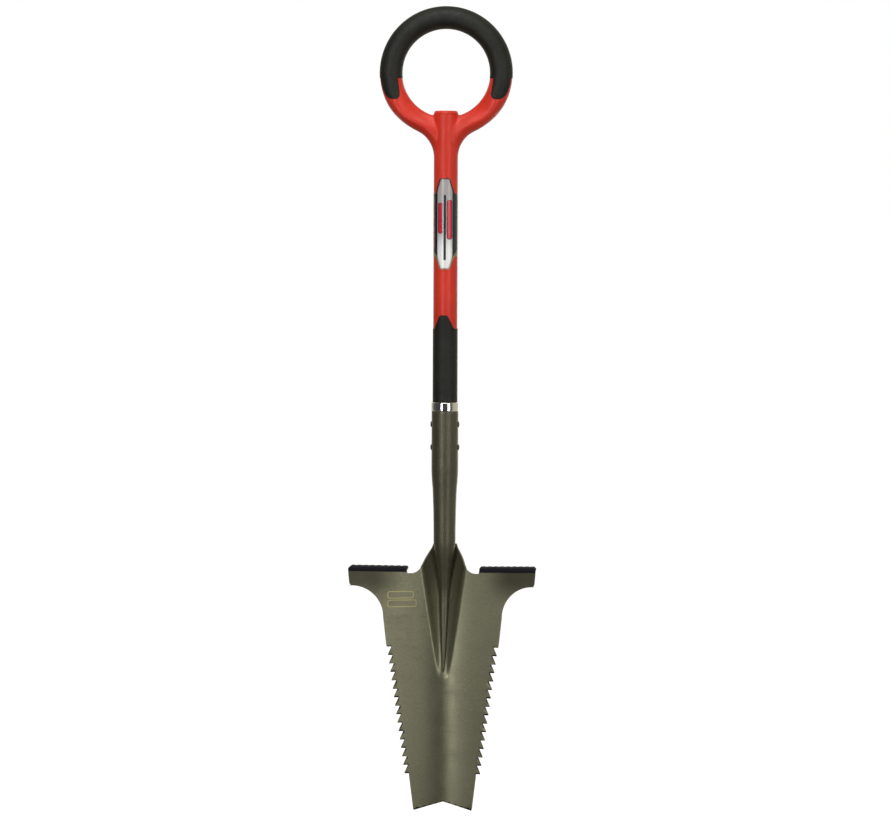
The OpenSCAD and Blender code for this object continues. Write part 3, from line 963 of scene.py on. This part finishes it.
def saw_points():
    """One side's saw edge as (start of the bevel, tip, root) for each tooth, from the top."""
    count, depth, bevel = 16, 6.4 * MM, 2.3 * MM
    first, last = np.array([78.4, -804.4]) * MM, np.array([53.6, -984.2]) * MM
    pitch = (last - first) / (count - 1)
    teeth = []
    flank_start = np.array([WAIST_X, STEP_LOW - 1 * MM - FILLET_R])
    for i in range(count):
        tip = first + i * pitch
        along = flank_start - tip
        start = tip + along * (bevel / along[1])
        root = tip - np.array([depth, 0])
        teeth.append((start, tip, root))
        flank_start = root
    return teeth


def arc(centre, radius, start, end, step=2.5 * MM):
    """Points along an arc between two angles in degrees."""
    count = max(3, int(abs(math.radians(end - start)) * radius / step) + 1)
    return [tuple(np.array(centre) + on_circle(radius, math.radians(start + (end - start) * k / count)))
            for k in range(count + 1)]


def between(a, b, step):
    """Points from a towards b, without b."""
    a, b = np.array(a), np.array(b)
    count = max(1, int(round(np.linalg.norm(b - a) / step)))
    return [tuple(a + (b - a) * k / count) for k in range(count)]


def blade_outline():
    """Right half of the blade seen from the front, from the middle of its top edge to its apex.
    Also gives the inner lines of the ground bevels, and the stretches that the bevels thin."""
    bevel_v, top_half = 4 * MM, 15.4 * MM
    corner, apex = np.array([40.75 * MM, blade_low.z]), np.array([0, -1025 * MM])
    arc_centre = (WAIST_X + FILLET_R, STEP_LOW - 1 * MM - FILLET_R)
    saddle_x = np.array([15.4, 17, 21, 25.3, 28.6, 33.7, 38, 43.5, 50]) * MM
    saddle_z = np.array([0, -5, -12, -20, -27.5, -35, -38.2, -39.8, -39.8]) * MM + SADDLE_TOP
    steps = np.arange(len(saddle_x))
    along = np.linspace(0, len(steps) - 1, 33)
    half = between((0, SADDLE_TOP), (top_half, SADDLE_TOP), 3 * MM)
    half += list(zip(smooth_curve(steps, saddle_x, along), smooth_curve(steps, saddle_z, along)))
    half += between((STEP_IN, tread_level(STEP_IN)), (EDGE_X, tread_level(EDGE_X)), 4 * MM)
    half += [(EDGE_X, tread_level(EDGE_X)), (EDGE_X - 0.6 * MM, -703 * MM),
             (EDGE_X - 1.6 * MM, STEP_LOW + 2.6 * MM), (EDGE_X - 2.2 * MM, STEP_LOW + 1 * MM),
             (EDGE_X - 3.6 * MM, STEP_LOW)]
    half += arc(arc_centre, FILLET_R, 88, 180)
    teeth = saw_points()
    half += between((WAIST_X, arc_centre[1]), teeth[0][0], 4 * MM)[1:]
    lines, thinned = [], []
    for start, tip, root in teeth:
        under = [tuple(tip), tuple((tip + root) / 2), tuple(root)]
        half += [tuple(start)] + under
        thinned += under
        inner_top = (root[0], start[1])
        lines.append([tuple(start), ((start[0] + root[0]) / 2, start[1]), inner_top,
                      (root[0] - 1.2 * MM, root[1] + 0.3 * MM), tuple(root)])
    root = teeth[-1][2]
    side_run = root - corner
    bevel_side = corner + side_run * (bevel_v / side_run[1])
    half += between(tuple(root), tuple(bevel_side), 4 * MM)[1:] + [tuple(bevel_side)]
    v_edge = between(tuple(corner), tuple(apex), 3 * MM) + [tuple(apex)]
    half += v_edge
    thinned += v_edge
    bevel_run = apex + (0, bevel_v) - bevel_side
    lines.append([tuple(bevel_side + bevel_run * t) for t in np.linspace(0, 1, 14)])
    return half, lines, thinned


def pressed_blade():
    """Sheet with its dish, trough, ground saw teeth and V edge, and the two turned-back steps."""
    half, lines, thinned = blade_outline()
    mirrored = [(-x, z) for x, z in reversed(half) if x > 1e-9]
    outline = np.array(half + mirrored) / MM
    keep = [True] + [np.linalg.norm(b - a) > 0.02 for a, b in zip(outline, outline[1:])]
    both = [np.array(line) / MM for line in lines]
    both += [line * (-1, 1) for line in both]
    thin = np.array([(sign * x / MM, z / MM) for x, z in thinned for sign in (-1, 1)])

    grid = []
    for z in np.arange(blade_low.z / MM, SADDLE_TOP / MM, 2.2):
        fine = np.arange(0.4, 36, 0.8 if z > TROUGH_TIP / MM - 10 else 2.4)
        for x in np.concatenate([fine, np.arange(38, 134, 2.6)]):
            grid += [(x, z), (-x, z)]
    flat, faces = flat_sheet(outline[keep], np.array(grid, float), both, 0.55)

    x, z = flat[:, 0] * MM, flat[:, 1] * MM
    front = face_y(x, z)
    step = 0.2 * MM
    slope_x = (face_y(x + step, z) - face_y(x - step, z)) / (2 * step)
    slope_z = (face_y(x, z + step) - face_y(x, z - step)) / (2 * step)
    norm = np.sqrt(slope_x ** 2 + slope_z ** 2 + 1)
    is_thin = np.array([np.abs(thin - point).sum(axis=1).min() < 0.02 for point in flat])
    ground = np.where(is_thin, SHEET_T - 0.5 * MM, 0.0)
    front_points = np.stack([x, front + ground, z], 1)
    back_points = np.stack([x - slope_x / norm * SHEET_T, front + SHEET_T / norm,
                            z - slope_z / norm * SHEET_T], 1)
    back_points[is_thin] = np.stack([x, front + SHEET_T, z], 1)[is_thin]
    solid = thick_faces(faces, len(flat), open_edges(faces))
    is_bevel = [any(is_thin[k] for k in face) for face in faces]
    is_bevel += [False] * (len(solid) - len(faces))

    piece = mesh_object("pressed_blade", np.concatenate([front_points, back_points]), solid)
    piece.data.materials.append(BLADE)
    piece.data.materials.append(GROUND)
    piece.data.polygons.foreach_set("material_index", [int(b) for b in is_bevel])
    join(piece, [tread_step(1), tread_step(-1)])
    clean(piece, 0)
    finish_piece(piece, BLADE, "blade", 28)


def step_sweep(name, side, xs, section_at):
    """Solid swept along one step. A section is a closed list of (behind the face, above the step)."""
    points = []
    for x in xs:
        y0, z0 = dish(min(x, EDGE_X)), tread_level(x)
        points += [(side * x, y0 + deep, z0 + up) for deep, up in section_at(x)]
    piece = mesh_object(name, points, tube_faces(len(xs), len(points) // len(xs)))
    clean(piece)
    return piece


def tread_step(side):
    """The turned-back step, an L in section with a round bend, on one side."""
    bend, leg, soft = 3.5 * MM, -9 * MM, 0.8 * MM

    def bent(radius, degrees):
        across, up = on_circle(radius, math.radians(degrees))
        return bend - across, up - bend

    section = [(0.3 * MM, leg), (0.3 * MM, -bend)] + [bent(bend, a) for a in range(10, 91, 16)]
    section += [(STEP_REACH - soft, 0), (STEP_REACH, -soft), (STEP_REACH, soft - SHEET_T),
                (STEP_REACH - soft, -SHEET_T)]
    section += [bent(bend - SHEET_T, a) for a in range(90, -1, -18)] + [(SHEET_T, leg)]
    step = step_sweep("tread_step", side, np.linspace(STEP_IN, EDGE_X, 22), lambda x: section)
    step.data.materials.append(BLADE)
    return step


def tread_pad_piece(node):
    """Strip over one step, with a lip that hangs down in front and low round ribs across the top."""
    outer_x = EDGE_X + 0.4 * MM
    lip, lip_low, base_t, rib_h, seat = 0.8 * MM, -4 * MM, 2.5 * MM, 0.5 * MM, 0.05 * MM
    ribs, end_r, edge_r = 9, 4.6 * MM, 1.4 * MM
    pitch = (outer_x - STEP_IN) / ribs

    def section_at(x):
        out = max(0.0, x - (outer_x - end_r)) / end_r
        rounding = end_r * (1 - math.sqrt(max(0.0, 1 - out ** 2)))
        swell = 0.5 - 0.5 * math.cos(2 * math.pi * (x - STEP_IN) / pitch)
        in_cut = 0.7 * MM * float(smoothstep(STEP_IN + 1 * MM, STEP_IN, x))
        top = base_t + rib_h * swell ** 0.7 - 0.8 * rounding
        front = -lip + 0.25 * rounding + in_cut
        back = STEP_REACH + lip - 1.2 * rounding
        section = [(front, lip_low + 0.5 * MM), (front + 0.5 * MM, lip_low), (-0.1 * MM, lip_low),
                   (-0.1 * MM, seat), (back - lip, seat), (back, seat),
                   (back, top - 1 * MM), (back - 1 * MM, top - in_cut)]
        for degrees in (90, 65, 40, 18, 0):
            across, up = on_circle(edge_r, math.radians(degrees))
            section.append((front + edge_r - across, top - in_cut - edge_r + up))
        return section

    side = 1 if node.startswith("right") else -1
    piece = step_sweep(node.replace("pad", "strip"), side, np.linspace(STEP_IN, outer_x, 170), section_at)
    finish_piece(piece, TREAD, node, 50)


handle_moulding()
ring_grip_skin()
top_cap_moulding()
shaft_grip_skin()
label_film()
ferrule_collar()
for rivet in ("upper_rivet", "lower_rivet"):
    rivet_piece(rivet)
socket_tube()
pressed_blade()
for pad in ("left_tread_pad", "right_tread_pad"):
    tread_pad_piece(pad)

KEPT = {"core_tube": bare_steel(), "lower_tube_plug": dark_plastic(),
        "left_weld": WELD, "right_weld": WELD, "rear_weld": WELD}
for name, material in KEPT.items():
    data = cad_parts[name].data
    data.materials.clear()
    data.materials.append(material)


# ---------- floor, light and camera ----------

def make_floor():
    half = 60.0
    level = blade_low.z - 0.3 * MM
    floor = mesh_object("floor", [(-half, -half, level), (half, -half, level),
                                  (half, half, level), (-half, half, level)], [(0, 1, 2, 3)])
    floor.data.materials.append(pale_floor())
    floor.visible_diffuse = False
    floor.visible_glossy = False


AZIMUTH, ELEVATION = math.radians(4.5), math.radians(3)
TO_CAMERA = Vector((math.sin(AZIMUTH) * math.cos(ELEVATION),
                    -math.cos(AZIMUTH) * math.cos(ELEVATION), math.sin(ELEVATION)))
TARGET = Vector((0.8, -10.0, -472.1)) * MM


def make_camera():
    distance = 6.0
    view_width = 1.2498
    camera = bpy.data.objects.new("camera", bpy.data.cameras.new("camera"))
    bpy.context.scene.collection.objects.link(camera)
    camera.data.lens = camera.data.sensor_width * distance / view_width
    camera.data.clip_end = 200
    camera.location = TARGET + TO_CAMERA * distance
    camera.rotation_mode = "QUATERNION"
    roll = Quaternion((0, 0, 1), math.radians(0.21))
    camera.rotation_quaternion = (-TO_CAMERA).to_track_quat("-Z", "Y") @ roll
    bpy.context.scene.camera = camera


def softbox(name, azimuth, height, distance, width, tall, power, colour=(1, 1, 1)):
    """Area light aimed at the shovel's middle. Azimuth counts from the camera's side towards +X."""
    light = bpy.data.lights.new(name, "AREA")
    light.shape = "RECTANGLE"
    light.size, light.size_y = width, tall
    light.energy = power
    light.color = colour
    lamp = bpy.data.objects.new(name, light)
    bpy.context.scene.collection.objects.link(lamp)
    angle = AZIMUTH + math.radians(azimuth)
    lamp.location = TARGET + Vector((math.sin(angle) * distance, -math.cos(angle) * distance, height))
    aim = TARGET - lamp.location
    lamp.rotation_mode = "QUATERNION"
    lamp.rotation_quaternion = aim.to_track_quat("-Z", "Y")


def make_lights():
    softbox("key_left", -27, 0.4, 2.6, 0.5, 2.4, 27)
    softbox("fill_right", 32, 0.3, 2.6, 0.8, 2.4, 20)
    softbox("rim_right", 150, 0.2, 2.2, 0.6, 2.4, 9, (1.0, 0.98, 0.95))
    softbox("rim_left", -150, 0.2, 2.2, 0.5, 2.4, 3, (1.0, 0.95, 0.84))
    softbox("overhead", -10, 2.4, 1.4, 1.8, 1.6, 46)


def make_world():
    """Room that lights the shovel by a soft ramp, dark in front and pale behind it. The camera itself
    sees plain white."""
    world = bpy.data.worlds.new("studio")
    world.use_nodes = True
    bpy.context.scene.world = world
    world.node_tree.nodes.clear()
    room = Nodes(world.node_tree)
    dark_side = AZIMUTH - math.radians(26)
    direction = room.node("ShaderNodeTexCoord").outputs["Generated"]
    facing = room.node("ShaderNodeVectorMath", {
        0: direction, 1: (math.sin(dark_side), -math.cos(dark_side), 0.0)}, operation="DOT_PRODUCT")
    across = room.node("ShaderNodeMapRange", {
        "Value": facing.outputs["Value"], "From Min": -1.0, "From Max": 1.0})
    studio = room.node("ShaderNodeValToRGB", {0: across.outputs["Result"]})
    stops = [(0.0, (0.62, 0.6, 0.5, 1)), (0.42, (0.5, 0.48, 0.38, 1)), (0.56, (0.13, 0.13, 0.12, 1)),
             (0.8, (0.07, 0.07, 0.075, 1)), (1.0, (0.05, 0.05, 0.06, 1))]
    ramp = studio.color_ramp
    for element, stop in ((ramp.elements[0], stops[0]), (ramp.elements[1], stops[-1])):
        element.position, element.color = stop
    for position, colour in stops[1:-1]:
        ramp.elements.new(position).color = colour
    seen = room.node("ShaderNodeBackground", {"Color": (1, 1, 1, 1)})
    lit = room.node("ShaderNodeBackground", {"Color": studio.outputs[0]})
    rays = room.node("ShaderNodeLightPath")
    choose = room.node("ShaderNodeMixShader", {
        0: rays.outputs["Is Camera Ray"], 1: lit.outputs[0], 2: seen.outputs[0]})
    room.node("ShaderNodeOutputWorld", {"Surface": choose.outputs[0]})


make_floor()
make_camera()
make_lights()
make_world()
bpy.context.scene.view_settings.view_transform = "Standard"
